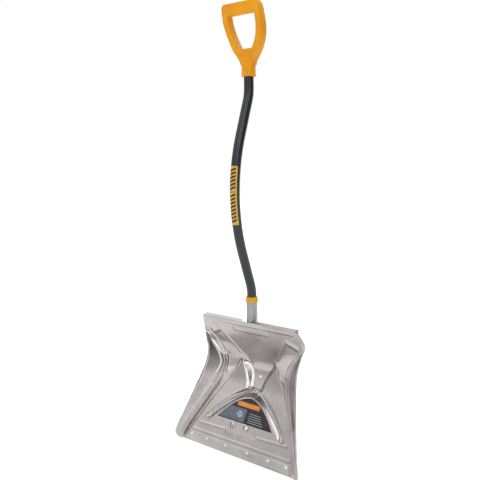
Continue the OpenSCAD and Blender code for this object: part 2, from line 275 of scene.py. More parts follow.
def vinyl(name, dark, light):
    """Semi-gloss vinyl with a faint lengthwise drag and fine pebbling."""
    material, tree, shader = new_material(name)
    drag = stretched_noise(tree, (1, 1, 0.03), 160, detail=4)
    pebble = stretched_noise(tree, EVEN, 700, detail=2)
    tree.links.new(graded(tree, drag, [(0.3, dark), (0.7, light)]), shader.inputs["Base Color"])
    tree.links.new(remap(tree, pebble, 0.20, 0.27), shader.inputs["Roughness"])
    shader.inputs["Specular IOR Level"].default_value = 0.45
    bumped(tree, shader, pebble, 0.3, 0.00015)
    return material


def film(name, dark, light):
    """Printed film with slightly uneven ink."""
    material, tree, shader = new_material(name)
    ink = stretched_noise(tree, EVEN, 120, detail=4)
    tree.links.new(graded(tree, ink, [(0.35, dark), (0.65, light)]), shader.inputs["Base Color"])
    tree.links.new(remap(tree, ink, 0.27, 0.40), shader.inputs["Roughness"])
    shader.inputs["Specular IOR Level"].default_value = 0.25
    bumped(tree, shader, ink, 0.2, 0.00006)
    return material


blade_metal = metal("blade_metal", (0.335, 0.312, 0.308), (0.44, 0.414, 0.408), 0.20,
                    streak=(1, 1, 0.08), streak_scale=260)
strip_metal = metal("strip_metal", (0.33, 0.32, 0.315), (0.52, 0.51, 0.50), 0.36,
                    streak=(0.08, 1, 1), streak_scale=220)
ferrule_metal = metal("ferrule_metal", (0.20, 0.20, 0.21), (0.32, 0.32, 0.33), 0.26,
                      streak=(1, 1, 0.04), streak_scale=300)
rivet_metal = metal("rivet_metal", (0.66, 0.65, 0.64), (0.85, 0.84, 0.83), 0.25)
tube_metal = metal("tube_metal", (0.36, 0.37, 0.39), (0.55, 0.56, 0.58), 0.34,
                   streak=(1, 1, 0.04), streak_scale=300)
grip_plastic = moulded_plastic("grip_plastic", (0.56, 0.218, 0.0), (0.63, 0.265, 0.0))
collar_plastic = moulded_plastic("collar_plastic", (0.52, 0.243, 0.002), (0.58, 0.29, 0.003))
sleeve_vinyl = vinyl("sleeve_vinyl", (0.006, 0.007, 0.010), (0.011, 0.013, 0.017))
film_black = film("film_black", (0.014, 0.014, 0.018), (0.030, 0.030, 0.036))
film_slate = film("film_slate", (0.085, 0.095, 0.120), (0.120, 0.132, 0.160))
film_orange = film("film_orange", (0.52, 0.17, 0.03), (0.62, 0.22, 0.04))
film_gold = film("film_gold", (0.46, 0.27, 0.03), (0.56, 0.34, 0.05))
film_dark = film("film_dark", (0.020, 0.016, 0.014), (0.040, 0.032, 0.026))
film_red = film("film_red", (0.30, 0.05, 0.05), (0.42, 0.09, 0.08))
film_blue = film("film_blue", (0.06, 0.20, 0.36), (0.10, 0.28, 0.46))
film_grey = film("film_grey", (0.26, 0.27, 0.29), (0.36, 0.37, 0.39))


# ---- the stamped sheet: y of its front face for a half width x and a depth d below the fold ----

def soft_min(a, b, k):
    """The lesser of a and b, blended over about k millimetres where they meet."""
    return -k * np.logaddexp(-a / k, -b / k)


def upper_panel(d):
    return TOP_Y + UPPER_SLOPE * d


def lower_panel(d):
    return EDGE_Y + LOWER_SLOPE * (BLADE_HEIGHT - d)


def wall_panel(d):
    return soft_min(upper_panel(d), lower_panel(d), 8)


def side_panel(d):
    """The panels beside the channel, which stand forward just below the upper panel."""
    return soft_min(upper_panel(d), lower_panel(d) - SHOULDER * (1 - ramp(130, 215, d)), 8)


def channel_floor(d):
    return soft_min(upper_panel(d), lower_panel(d) + CHANNEL_DEPTH * (1 - ramp(238, 262, d)), 12)


# Stations down the blade: depth, half width of the wall fold, forward rise of the fold
FOLD_LINE = np.array([(0, 172, 0), (45, 181, 0), (58, 172, 1), (85, 151, 2), (100, 138, 6),
                      (115, 127, 13), (130, 119, 21), (145, 114, 23), (160, 113, 20),
                      (190, 120, 19), (220, 133, 17), (250, 149, 14), (280, 163, 13),
                      (340, 193, 11), (370, 205, 8), (400, 214, 2)], float)
# Depth, half width of the free edge, its y
FREE_EDGE = np.array([(0, 181, -23), (25, 190, -10), (40, 192.5, -2.5), (50, 192.5, -4),
                      (70, 183.5, -8), (100, 175.5, -11.5), (130, 172, -17), (160, 175, -26),
                      (190, 182, -38), (250, 199, -64.5), (310, 216.5, -90), (340, 226, -103),
                      (373, 235.9, -114), (385, 233, -109), (402, 223, -100)], float)
# Depth, half width of the crease between the middle and the side panels
CREASE_LINE = np.array([(0, 150), (36, 129), (85, 92), (114, 73), (130, 67), (163, 78),
                        (198, 106), (232, 128), (277, 157), (340, 188), (400, 212)], float)
# Depth, half width of the channel at the middle of its bank
CHANNEL_EDGE = np.array([(0, 60), (130, 58), (145, 56), (166, 41), (190, 30), (212, 25),
                         (240, 20)], float)


def smooth_column(table, column, d, reach=7):
    """A station table read at depth d, its corners rounded over reach millimetres."""
    steps = np.linspace(-reach, reach, 9)
    return sum(np.interp(d + s, table[:, 0], table[:, column]) for s in steps) / len(steps)


def groove_outer(x):
    """Depth of the groove's upper rim at a half width x."""
    return 211 + 107 * (x / 153) ** 1.6


def groove_inner(x):
    """Depth of the groove's lower rim at a half width x."""
    return 240 + 84 * (x / 130) ** 1.6


def groove(x, d):
    """One in the curved groove round the label, zero outside it."""
    return (ramp(-4, 12, d - groove_outer(x)) * ramp(0, 12, groove_inner(x) - d)
            * (1 - ramp(140, 154, x)) * (1 - ramp(312, 328, d)))


def channel(x, d):
    """One in the channel under the ferrule, zero outside its banks."""
    middle = smooth_column(CHANNEL_EDGE, 1, d)
    return (1 - ramp(middle - 11, middle + 11, x)) * (1 - ramp(213, 230, d))


def band(low, high, t, soft=2.5):
    """One between low and high, falling to zero over soft millimetres outside them."""
    return ramp(low - soft, low, t) * (1 - ramp(high, high + soft, t))


def beads(x, d):
    """Fine pressed detail, as a height towards the front. x keeps its sign.

    Each line is a height in millimetres, times the detail's cross profile, times where it runs.
    """
    half = np.abs(x)
    upper_bead = 2.4 * band(17, 31, d, 4) * (1 - ramp(60, 68, half))
    fold_line_bead = 1.0 * bump(d - 9, 2.5) * (1 - ramp(150, 165, half))
    gusset = 4 * bump(d - 44 - 0.42 * (half - 135), 7) * band(132, 158, half, 8)
    hem_line = 0.8 * bump(d - 360, 2.4) * (1 - ramp(186, 192, half))
    cross_line = 0.9 * bump(d - 334 + 0.03 * x, 2.6) * band(62, 164, half, 8)
    left_pin = 4.5 * bump(x + 40, 6 - 0.15 * (d - 312)) * band(314, 327, d, 4)
    right_pin = 4.5 * bump(x - 10, 6) * band(313, 320, d, 4)
    slant = x + 0.35 * (d - 343)
    bars = 1.8 * (0.5 + 0.5 * np.cos(2 * np.pi * slant / 9.2)) ** 2
    row = band(336, 350, d, 2) * band(-61, 49, x, 2) * ramp(3, 5, np.abs(slant + 20))
    at_lip = np.clip(groove(half, d) / 0.4, 0, 1)
    lip = 8 * at_lip * (1 - at_lip) * ramp(18, 34, half)
    stubs = 2.4 * (bump(x + 4.4 + 0.51 * (d - 232), 2.2) * band(212, 232, d, 4)
                   + bump(x - 9.7 + 0.32 * (d - 237), 2.2) * band(212, 236, d, 4))
    return (upper_bead + fold_line_bead + gusset + hem_line + cross_line + left_pin + right_pin
            + bars * row + lip + stubs)


def floor_y(x, d):
    """Front face between the wall folds. x keeps its sign."""
    half = np.abs(x)
    crease = smooth_column(CREASE_LINE, 1, d)
    edge = smooth_column(FOLD_LINE, 1, d)
    softness = 0.06
    past_crease = (half - crease) / np.maximum(edge - crease, 1)
    towards_fold = np.clip(softness * np.logaddexp(0, past_crease / softness), 0, 1)
    rise = (side_panel(d) - wall_panel(d) + smooth_column(FOLD_LINE, 2, d)) * towards_fold
    dip = (channel_floor(d) - side_panel(d)) * channel(half, d)
    side_groove = (CHANNEL_DEPTH - 12 * ramp(0, 90, half)) * groove(half, d)
    ridge = 2.4 * bump(half - crease, 4.5) * band(40, 114, d, 8)
    crease_bead = 1.3 * bump(half - crease, 2.2) * band(150, 330, d, 12)
    return side_panel(d) - rise + np.maximum(dip, side_groove) - beads(x, d) - ridge - crease_bead


# ---- blade ----

# Cells from the middle to the fold, cells across a side wall, and rows below the bend
FLOOR_CELLS = 150
WALL_CELLS = 34
SHEET_ROWS = 380
FOLD_RADIUS = 4.5
BEND_TURNS = np.linspace(0, math.pi / 2, 7)[:-1]
LEAN = math.atan(UPPER_SLOPE)
FLANGE_BACK = np.array([0, math.cos(LEAN), math.sin(LEAN)])
FLANGE_UNDER = np.array([0, math.sin(LEAN), -math.cos(LEAN)])
FLANGE_SHEET = 0.9 * SHEET


def sheet_row(d):
    """Front face points across the blade at one depth."""
    columns = np.arange(-FLOOR_CELLS - WALL_CELLS, FLOOR_CELLS + WALL_CELLS + 1)
    side = np.sign(columns)
    cell = np.abs(columns)
    edge = smooth_column(FOLD_LINE, 1, d)
    across = np.minimum(cell, FLOOR_CELLS) / FLOOR_CELLS
    x_floor = side * edge * (0.7 * across + 0.3 * (1 - (1 - across) ** 2))
    wall = np.maximum(cell - FLOOR_CELLS, 0) / WALL_CELLS
    free_x = smooth_column(FREE_EDGE, 1, d, 4)
    free_y = smooth_column(FREE_EDGE, 2, d, 4)
    x = x_floor + side * (free_x - edge) * wall
    y_floor = floor_y(x_floor, d)
    y = y_floor + (free_y - y_floor) * wall
    # Distance past the fold, square to it, and the wall's whole width
    slope = (smooth_column(FOLD_LINE, 1, d + 3) - smooth_column(FOLD_LINE, 1, d - 3)) / 6
    square = 1 / math.hypot(1, slope)
    out = square * np.hypot(np.abs(x) - edge, y - y_floor) * np.where(cell > FLOOR_CELLS, 1, -1)
    room = square * np.hypot(free_x - edge, free_y - y_floor)
    strength = band(48, 384, d, 14)
    roomy = ramp(14, 40, room)
    # A pair of beads along the fold, a line up the wall, and the free edge's small roll
    pair = 2.6 * (bump(out, 2.4) + bump(out - 8, 2.4) * ramp(10, 22, room))
    wall_line = 1.4 * bump(out - 18, 3.5) * roomy
    rim_roll = 1.6 * bump(room * (1 - wall), 3) * (cell > FLOOR_CELLS) * roomy
    y_front = y - (pair + wall_line) * strength + rim_roll * strength
    return np.column_stack([x, y_front, np.full_like(x, -d)])


def flange_rows():
    """The flange from its rolled rear lip forwards, and the bend that turns it into the sheet."""
    start = sheet_row(-TOP_LIFT)
    # How far back and how far down: the lip, then a pressed line along the flange
    lip = [(FLANGE_WIDTH, 2.2), (FLANGE_WIDTH, 0.7), (FLANGE_WIDTH - 0.7, 0)]
    line = [(FLANGE_WIDTH * 0.72, 0), (FLANGE_WIDTH * 0.66, 0.6),
            (FLANGE_WIDTH * 0.58, 0.6), (FLANGE_WIDTH * 0.52, 0)]
    bend = [(FOLD_RADIUS * (1 - math.sin(turn)), FOLD_RADIUS * (1 - math.cos(turn)))
            for turn in BEND_TURNS]
    return [flange_row(start, reach, drop) for reach, drop in lip + line + bend]


def flange_row(start, reach, drop):
    """The fold's row carried back by reach: narrower at its ends, wider at the notch."""
    shift = np.zeros_like(start)
    near_notch = 1 - ramp(NOTCH_HALF_WIDTH, 4 * NOTCH_HALF_WIDTH, np.abs(start[:, 0]))
    shift[:, 0] = (np.sign(start[:, 0]) * NOTCH_FLARE * near_notch * reach / FLANGE_WIDTH
                   - reach * FLANGE_TAPER * start[:, 0] / TOP_HALF_WIDTH)
    return start + FLANGE_BACK * reach + FLANGE_UNDER * drop + shift


def build_blade():
    """The whole sheet as one shell: a front grid, a back grid, and walls round every open rim."""
    rows = flange_rows()
    flange_count = len(rows)
    below_bend = FOLD_RADIUS * math.cos(LEAN) - TOP_LIFT
    rows += [sheet_row(d) for d in np.linspace(below_bend, BLADE_HEIGHT, SHEET_ROWS)]
    front = np.array(rows)
    back = front.copy()
    bend_start = flange_count - len(BEND_TURNS)
    back[:bend_start] += FLANGE_UNDER * FLANGE_SHEET
    for row, turn in enumerate(BEND_TURNS, bend_start):
        back[row] += (FLANGE_BACK * math.sin(turn) + FLANGE_UNDER * math.cos(turn)) * FLANGE_SHEET
    back[flange_count:] += [0, SHEET, 0]
    count, columns = front.shape[:2]
    middle = FLOOR_CELLS + WALL_CELLS
    notch_cells = int(np.searchsorted(front[flange_count, middle:, 0], NOTCH_HALF_WIDTH))

    def present(r, c):
        """Whether a cell is sheet: on the grid, and not in the flange's notch."""
        inside = 0 <= r < count - 1 and 0 <= c < columns - 1
        return inside and not (r < bend_start and abs(c - middle + 0.5) < notch_cells)

    size = count * columns
    faces = []
    for r in range(count - 1):
        for c in range(columns - 1):
            if not present(r, c):
                continue
            a, b = r * columns + c, r * columns + c + 1
            e, f = b + columns, a + columns
            faces.append((a, f, e, b))
            faces.append((a + size, b + size, e + size, f + size))
            neighbours = ((r - 1, c, a, b), (r + 1, c, e, f), (r, c - 1, f, a), (r, c + 1, b, e))
            for next_row, next_column, p, q in neighbours:
                if not present(next_row, next_column):
                    faces.append((p, q, q + size, p + size))
    points = np.concatenate([front.reshape(-1, 3), back.reshape(-1, 3)])
    blade = add_piece("blade_sheet", points, faces, [blade_metal], "blade", "blade_aluminium")
    blade.data.set_sharp_from_angle(angle=math.radians(50))


# ---- things lying on the flat lower panel ----

PANEL_UP = np.array([0, math.sin(LOWER_ANGLE), math.cos(LOWER_ANGLE)])
PANEL_OUT = np.array([0, -math.cos(LOWER_ANGLE), math.sin(LOWER_ANGLE)])


def on_panel(x, up, out):
    """A point on the lower panel: across, up from the lower edge, and out of the front face."""
    return np.array([x, EDGE_Y, -BLADE_HEIGHT]) + PANEL_UP * up + PANEL_OUT * out


def panel_slab(outline, low, high):
    """A thin plate with the given (x, up) outline."""
    n = len(outline)
    points = [on_panel(x, up, level) for level in (low, high) for x, up in outline]
    rim = [(i, (i + 1) % n, (i + 1) % n + n, i + n) for i in range(n)]
    return points, rim + [tuple(range(n, 2 * n)), tuple(reversed(range(n)))]


LABEL_HALF_WIDTH = 105
LABEL_FOOT_DEPTH = 309
LABEL_BASE = (BLADE_HEIGHT - LABEL_FOOT_DEPTH) / math.cos(LOWER_ANGLE)
LABEL_HEIGHT = 68 / math.cos(LOWER_ANGLE)
LABEL_MARGIN = 2.5
BADGE_X = -24
BADGE_RISE = 25


def label_top(x):
    """How far up the panel the label reaches at x."""
    return LABEL_BASE + LABEL_HEIGHT * (1 - abs(x / LABEL_HALF_WIDTH) ** 1.75)


def label_patch(x_low, x_high, low, high):
    """Part of the label between two x, from low up to high or the label's rim less its margin."""
    xs = np.linspace(x_low, x_high, 16)
    top = [(x, min(high, label_top(x) - LABEL_MARGIN)) for x in xs]
    keep = [(x, t) for x, t in top if t > low + 0.5]
    return [(keep[0][0], low)] + keep + [(keep[-1][0], low)]


def badge_disc(radius):
    """Outline of a disc at the badge's place."""
    turns = np.linspace(0, 2 * math.pi, 25)[:-1]
    return [(BADGE_X + radius * math.cos(t), LABEL_BASE + BADGE_RISE + radius * math.sin(t))
            for t in turns]


def build_label():
    """A black half-ellipse with a slate panel, an orange bar, ruled lines and a round badge."""
    whole = [(x, label_top(x)) for x in np.linspace(-LABEL_HALF_WIDTH, LABEL_HALF_WIDTH, 61)]
    panel = label_patch(-100, -2, LABEL_BASE + 3, LABEL_BASE + 43)
    bar = label_patch(-42, 42, LABEL_BASE + 49, LABEL_BASE + 63)
    layers = [(film_black, panel_slab(whole, 0, 0.25)),
              (film_slate, panel_slab(panel, 0.2, 0.3)),
              (film_orange, panel_slab(bar, 0.2, 0.32))]
    for i in range(5):
        up = LABEL_BASE + 33 - 6.5 * i
        right = 52 + 4 * i
        line = [(10, up), (right, up), (right, up + 1.5), (10, up + 1.5)]
        layers.append((film_grey, panel_slab(line, 0.2, 0.3)))
    layers.append((film_grey, panel_slab(badge_disc(10), 0.25, 0.36)))
    layers.append((film_blue, panel_slab(badge_disc(5), 0.3, 0.4)))
    add_layers("blade_label_film", layers, "blade_label", "blade_film", smooth=False)


STRIP_HALF_WIDTH = 198
STRIP_TAPER = 12
STRIP_COLUMNS = 240
STRIP_STEPS = 16


def build_wear_strip():
    """The strip's skin, with a rolled upper edge, shallow dents and a worn lower edge."""
    front, back = [], []
    for s in range(STRIP_STEPS + 1):
        up = STRIP_HEIGHT * s / STRIP_STEPS
        half = STRIP_HALF_WIDTH - STRIP_TAPER * s / STRIP_STEPS
        xs = np.linspace(-half, half, STRIP_COLUMNS)
        dents = 0.25 * np.sin(xs / 17.0 + 0.8 * np.sin(xs / 41.0)) * np.sin(up / 6.0 + xs / 60.0)
        edge = STRIP_THICKNESS * (1 - 0.55 * bump(up, 1.6) - 0.45 * bump(up - STRIP_HEIGHT, 1.2))
        out = np.maximum(edge + np.minimum(dents, 0) * 0.6, 0.5)
        front.append([on_panel(x, up, height) for x, height in zip(xs, out)])
        back.append([on_panel(x, up, 0.02) for x in xs])
    points, faces = closed_slab(front, back)
    strip = add_piece("wear_strip_skin", points, faces, [strip_metal], "wear_strip", "strip_steel")
    strip.data.set_sharp_from_angle(angle=math.radians(50))


def dome(radius, height, steps=7):
    """(radius, height) profile of a rivet head, from its rim to its crown."""
    curve = [(radius * math.cos(t), height * math.sin(t)) for t in np.linspace(0, math.pi / 2, steps)]
    return [(radius * 0.96, 0)] + curve[:-1] + [(0.001, height)]


def build_strip_rivets():
    """Six rivets, each with a head in front of the strip and a smaller one behind the sheet."""
    parts = []
    up = STRIP_HEIGHT * 0.7
    behind = -SHEET * 0.87
    for x in (-182, -118, -42, 42, 118, 182):
        parts.append(lathe(dome(4, 1.2), 24, facing(on_panel(x, up, STRIP_THICKNESS), PANEL_OUT)))
        parts.append(lathe(dome(3.2, 1.0), 24, facing(on_panel(x, up, behind), -PANEL_OUT)))
    add_piece("strip_rivets", *join(parts), [rivet_metal], "wear_strip_rivets", "rivet_metal")


TONGUE_RIVET_DEPTH = 184
TONGUE_THICKNESS = 5.4
BACK_GAP = 0.6


def build_tongue_rivet():
    """The throat's set rivet, square to the channel floor, with a head on either side."""
    centre = Vector((0, float(channel_floor(TONGUE_RIVET_DEPTH)), -TONGUE_RIVET_DEPTH))
    out = Vector(PANEL_OUT)
    clamped = (SHEET + BACK_GAP + TONGUE_THICKNESS) * math.cos(LOWER_ANGLE)
    front = lathe(dome(5, 2), 28, facing(centre - 0.6 * out, out))
    back = lathe(dome(4.2, 1.6), 28, facing(centre - clamped * out, -out))
    add_piece("throat_rivet", *join([front, back]), [rivet_metal], "tongue_rivet", "rivet_metal")


# ---- handle ----

def handle_line(bottom, top):
    """Stations along the handle: y, z and forward lean."""
    rise = BOW_RADIUS * math.sin(BOW_ANGLE)
    sag = BOW_RADIUS * (1 - math.cos(BOW_ANGLE))
    end_rise = END_RADIUS * math.sin(BOW_ANGLE)
    end_shift = END_RADIUS * (1 - math.cos(BOW_ANGLE))
    slant = (BOW - end_shift - sag) / math.sin(BOW_ANGLE)
    half = end_rise + slant * math.cos(BOW_ANGLE) + rise
    start, end = BOW_HEIGHT - half, BOW_HEIGHT + half
    # Straight foot, lower bend, bow, upper bend, straight top
    line = [(0, bottom, 0)]
    line += [(END_RADIUS * (math.cos(a) - 1), start + END_RADIUS * math.sin(a), a)
             for a in np.linspace(0, BOW_ANGLE, 13)]
    line += [(BOW_RADIUS * (1 - math.cos(a)) - BOW, BOW_HEIGHT - BOW_RADIUS * math.sin(a), a)
             for a in np.linspace(BOW_ANGLE, -BOW_ANGLE, 61)]
    line += [(END_RADIUS * (math.cos(a) - 1), end - END_RADIUS * math.sin(a), -a)
             for a in np.linspace(BOW_ANGLE, 0, 13)]
    return line + [(0, top, 0)]


def section_ring(at, radius, angles):
    """Points round the handle, square to it, at a station from handle_line."""
    y, z, lean = at
    return [(radius * math.cos(t), y + radius * math.sin(t) * math.cos(lean),
             z + radius * math.sin(t) * math.sin(lean)) for t in angles]


SLEEVE_SIDES = 48


def build_sleeve():
    """The vinyl's outer skin, and an inner one just off the tube."""
    angles = np.linspace(0, 2 * math.pi, SLEEVE_SIDES + 1)[:-1]
    line = handle_line(FERRULE_TOP, NECK_BOTTOM)
    outer = [p for at in line for p in section_ring(at, SLEEVE_RADIUS, angles)]
    inner = [p for at in line for p in section_ring(at, TUBE_RADIUS + 0.02, angles)]
    outside = grid_faces(len(line), SLEEVE_SIDES, closed=True)
    inside = [tuple(reversed(face)) for face in outside]
    points, faces = join([(outer, outside), (inner, inside)])
    add_piece("handle_sleeve", points, faces, [sleeve_vinyl], "shaft_sleeve", "sleeve_vinyl")


def bow_point(t, a, radius):
    """A point on the bow: t round the tube from its front, a along the bow, both in radians."""
    at = (BOW_RADIUS * (1 - math.cos(a)) - BOW, BOW_HEIGHT + BOW_RADIUS * math.sin(a), -a)
    return section_ring(at, radius, [t - math.pi / 2])[0]


def bow_patch(corners, radius, thickness, steps):
    """A curved plate on the tube between four (t, a) corners."""
    first, second, third, fourth = np.array(corners)
    grids = []
    for level in (radius + thickness, radius):
        points = []
        for v in np.linspace(0, 1, steps + 1):
            for u in np.linspace(0, 1, steps + 1):
                t, a = (first * (1 - u) + second * u) * (1 - v) + (fourth * (1 - u) + third * u) * v
                points.append(bow_point(t, a, level))
        grids.append(np.reshape(points, (steps + 1, steps + 1, 3)))
    return closed_slab(*grids)


# The film's half length along the bow and its half width round the tube, in radians
FILM_REACH = math.radians(9.5)
FILM_SPREAD = math.radians(62)
MARK_COUNT = 15
RED_MARK = 8


def film_mark(middle, half, lean, spread):
    """A bar round the tube on the handle's film. half is half its width, and lean slants it."""
    corners = [(-spread, middle - half - lean), (spread, middle - half + lean),
               (spread, middle + half + lean), (-spread, middle + half - lean)]
    return bow_patch(corners, SLEEVE_RADIUS + 0.2, 0.1, 16)


def build_shaft_label():
    """Gold film with a row of slanted dark marks, one of them thin and red."""
    corners = [(-FILM_SPREAD, -FILM_REACH), (FILM_SPREAD, -FILM_REACH),
               (FILM_SPREAD, FILM_REACH), (-FILM_SPREAD, FILM_REACH)]
    layers = [(film_gold, bow_patch(corners, SLEEVE_RADIUS + 0.01, 0.2, 40))]
    run = 0.93 * FILM_REACH
    middles = [run * (2 * (i + 0.5) / MARK_COUNT - 1) for i in range(MARK_COUNT)]
    red_middle = middles.pop(RED_MARK)
    for middle in middles:
        mark = film_mark(middle, 0.6 * run / MARK_COUNT, 0.05 * FILM_REACH, 0.75)
        layers.append((film_dark, mark))
    layers.append((film_red, film_mark(red_middle, 0.0035, 0.0025, 0.7)))
    add_layers("handle_label", layers, "shaft_label", "shaft_film")


def build_collar():
    """The collar's turned section, with a bevelled mouth at its top and a step over the ferrule."""
    height = COLLAR_TOP - COLLAR_BOTTOM
    step = FERRULE_TOP - COLLAR_BOTTOM
    profile = [(FERRULE_RADIUS + 0.02, 0.4), (COLLAR_RADIUS - 0.7, 0), (COLLAR_RADIUS - 0.15, 0.3),
               (COLLAR_RADIUS, 1.0), (COLLAR_RADIUS, height - 4.5),
               (COLLAR_RADIUS - 0.25, height - 3.8), (COLLAR_RADIUS - 0.9, height - 3.2),
               (COLLAR_RADIUS - 1.6, height - 0.8), (COLLAR_RADIUS - 2.2, height - 0.1),
               (SLEEVE_RADIUS + 0.6, height), (SLEEVE_RADIUS + 0.02, height - 0.4),
               (SLEEVE_RADIUS + 0.02, step), (FERRULE_RADIUS + 0.02, step),
               (FERRULE_RADIUS + 0.02, 0.4)]
    points, faces = lathe(profile, 64, Matrix.Translation((0, 0, COLLAR_BOTTOM)))
    collar = add_piece("collar_ring", points, faces, [collar_plastic], "socket_collar",
                       "collar_plastic")
    collar.data.set_sharp_from_angle(angle=math.radians(60))


def build_back_rivets():
    """The rivet heads behind the grip's neck and behind the ferrule."""
    neck_place = (0, 19.5, NECK_BOTTOM + 18)
    ferrule_place = (0, FERRULE_RADIUS, 40)
    for name, place, node in (("grip_rivet_head", neck_place, "grip_rivet"),
                              ("ferrule_rivet_head", ferrule_place, "ferrule_rivet")):
        points, faces = lathe(dome(5, 1.8), 28, facing(place, (0, 1, 0)))
        add_piece(name, points, faces, [rivet_metal], node, "rivet_metal")


# ---- grip ----

# Height above the crossbar and half width of the grip's outline and of its hand gap
OUTLINE = [(15.5, 50), (15, 56), (12, 60.5), (4, 64), (-8, 65.5), (-24, 66), (-38, 66), (-52, 64.5),
           (-64, 62), (-76, 59), (-90, 54), (-104, 47.5), (-117, 39.5), (-128, 30.5), (-138, 23.5),
           (-146, 19.5), (-152, 18.5)]
GAP = [(-10, 48), (-30, 48), (-45, 46.5), (-60, 43.5), (-75, 39), (-90, 33), (-100, 28),
       (-104, 25.5), (-107, 21)]
# Height above the crossbar, y and half depth of the grip's arms
ARM_LINE = [(15.5, -5, 13), (0, 0, 14), (-30, 7.5, 14), (-50, 14, 14), (-70, 20, 14), (-90, 23, 14),
            (-110, 25, 14.5), (-130, 27, 15.5), (-152, 27, 15)]
BAR_RADIUS = 16.95
NECK_RADIUS = 20.5
NECK_RIBS = 12
RIB_DEPTH = 1.1
TUBE_TOP = 768


def both_sides(half):
    """A whole outline from (height, half width) stations."""
    return [(w, z) for z, w in half] + [(-w, z) for z, w in reversed(half)]


def side_view():
    """The arms' outline seen from the side, as (y, height) points."""
    front = [(y - h, z) for z, y, h in ARM_LINE]
    return front + [(y + h, z) for z, y, h in reversed(ARM_LINE)]


def prism(outline, place, reach):
    """An outline swept both ways by reach. place(a, b, s) gives the point for outline (a, b)."""
    n = len(outline)
    points = [place(a, b, side * reach) for side in (-1, 1) for a, b in outline]
    faces = [tuple(range(n)), tuple(reversed(range(n, 2 * n)))]
    faces += [((i + 1) % n, i, i + n, (i + 1) % n + n) for i in range(n)]
    return points, faces


def closed_shell(name, points, faces):
    """A scratch object with merged points and outward faces, for the grip's booleans."""
    mesh = bpy.data.meshes.new(name)
    mesh.from_pydata(to_frame([tuple(p) for p in points]).tolist(), [], [list(f) for f in faces])
    shell = bmesh.new()
    shell.from_mesh(mesh)
    bmesh.ops.remove_doubles(shell, verts=shell.verts, dist=1e-5)
    bmesh.ops.recalc_face_normals(shell, faces=shell.faces)
    shell.to_mesh(mesh)
    shell.free()
    scratch = bpy.data.objects.new(name, mesh)
    bpy.context.scene.collection.objects.link(scratch)
    return scratch


def ribbed_neck():
    """The neck with its cuff and shallow upright ribs."""
    sides = NECK_RIBS * 12
    profile = [(0.001, 0), (NECK_RADIUS + 0.6, 0), (NECK_RADIUS + 1, 0.6), (NECK_RADIUS + 1, 5.4),
               (NECK_RADIUS + 0.4, 6.2), (NECK_RADIUS, 7), (NECK_RADIUS, 9), (NECK_RADIUS, 32),
               (NECK_RADIUS, 36), (NECK_RADIUS - 3, 46), (0.001, 46)]
    points, faces = lathe(profile, sides, Matrix.Translation((0, 0, NECK_BOTTOM)))
    ribbed = []
    for i, point in enumerate(points):
        angle = 2 * math.pi * (i % sides) / sides
        level = point.z - NECK_BOTTOM
        hollow = RIB_DEPTH * (0.5 - 0.5 * math.cos(NECK_RIBS * angle)) * (8 < level < 34)
        shrink = 1 - hollow / NECK_RADIUS
        ribbed.append(Vector((point.x * shrink, point.y * shrink, point.z)))
    return ribbed, faces


def build_grip():
    """The moulding: front view less the hand gap, cut to the side view, plus bar and neck."""
    centre = Vector((0, -GRIP_FORWARD, GRIP_HEIGHT))
    bar_profile = [(0.001, -62), (BAR_RADIUS - 5, -62), (BAR_RADIUS - 1, -58), (BAR_RADIUS, -50),
                   (BAR_RADIUS, 50), (BAR_RADIUS - 1, 58), (BAR_RADIUS - 5, 62), (0.001, 62)]
    bar_place = Matrix.Translation(centre) @ Matrix.Rotation(math.pi / 2, 4, "Y")
    bore_profile = [(0.001, -2), (TUBE_RADIUS, -2), (TUBE_RADIUS, TUBE_TOP - NECK_BOTTOM),
                    (0.001, TUBE_TOP - NECK_BOTTOM)]
    bore_place = Matrix.Translation((0, 0, NECK_BOTTOM))

    def from_front(a, b, s):
        return centre + Vector((a, s, b))

    def from_side(a, b, s):
        return centre + Vector((s, a, b))

    body = closed_shell("front_view", *prism(both_sides(OUTLINE), from_front, 60))
    gap = closed_shell("gap", *prism(both_sides(GAP), from_front, 80))
    side = closed_shell("side_view", *prism(side_view(), from_side, 80))
    bar = closed_shell("bar", *lathe(bar_profile, 48, bar_place))
    neck = closed_shell("neck", *ribbed_neck())
    bore = closed_shell("bore", *lathe(bore_profile, 48, bore_place))
    for other, operation in ((gap, "DIFFERENCE"), (side, "INTERSECT"), (bar, "UNION"),
                             (neck, "UNION"), (bore, "DIFFERENCE")):
        step = body.modifiers.new(other.name, "BOOLEAN")
        step.object, step.operation, step.solver = other, operation, "EXACT"
    remesh = body.modifiers.new("skin", "REMESH")
    remesh.mode, remesh.voxel_size = "VOXEL", 0.0011
    smooth = body.modifiers.new("round", "SMOOTH")
    smooth.factor, smooth.iterations = 0.5, 10
    graph = bpy.context.evaluated_depsgraph_get()
    mesh = bpy.data.meshes.new_from_object(body.evaluated_get(graph))
    for scratch in (body, gap, side, bar, neck, bore):
        bpy.data.objects.remove(scratch)
    mesh.materials.clear()
    mesh.materials.append(grip_plastic)
    mesh.polygons.foreach_set("use_smooth", [True] * len(mesh.polygons))
    grip = bpy.data.objects.new("grip_moulding", mesh)
    bpy.context.scene.collection.objects.link(grip)
    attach(grip, "root")
    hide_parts("d_grip")


# ---- camera, floor and light ----

# Turn from straight ahead, dip below level and roll, in degrees, then place, lens and sensor
CAMERA_ANGLES = (38.45, 8.19, -0.96)
CAMERA_PLACE = (1093.7, -1430.6, 514.6)
CAMERA_LENS = 45.5
CAMERA_SENSOR = 36
FLOOR_REACH = 9
FLOOR_GAP = 0.002
